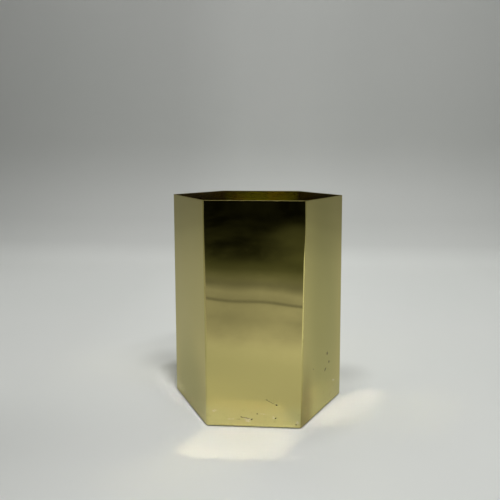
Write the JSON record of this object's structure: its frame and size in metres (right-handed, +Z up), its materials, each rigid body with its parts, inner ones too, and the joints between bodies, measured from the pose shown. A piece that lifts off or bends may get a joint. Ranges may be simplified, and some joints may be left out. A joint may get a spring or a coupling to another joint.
{
  "type": "hexagonal brass vessel",
  "caption": "Open-topped hexagonal vessel of folded polished sheet brass, soldered at two corners, with a closed base on small pads.",
  "frame": {"origin": "centre of the hexagon at the height of the surface the pads rest on", "axes": "+Z up through the open top, -Y out of the front panel, corners on the X axis"},
  "size_m": [0.199, 0.1732, 0.24],
  "materials": {
    "polished_brass": "mirror polished, light wear near the base",
    "plain_brass": "mill finish, slightly tarnished",
    "solder": "dull soft solder",
    "pad_rubber": "matt"
  },
  "bodies": {
    "root": {"front_shell": "polished_brass", "rear_shell": "polished_brass", "left_seam_strap": "plain_brass", "right_seam_strap": "plain_brass", "left_seam_solder": "solder", "right_seam_solder": "solder", "base_pan": "plain_brass", "base_solder": "solder", "base_pads": "pad_rubber"}
  },
  "joints": []
}
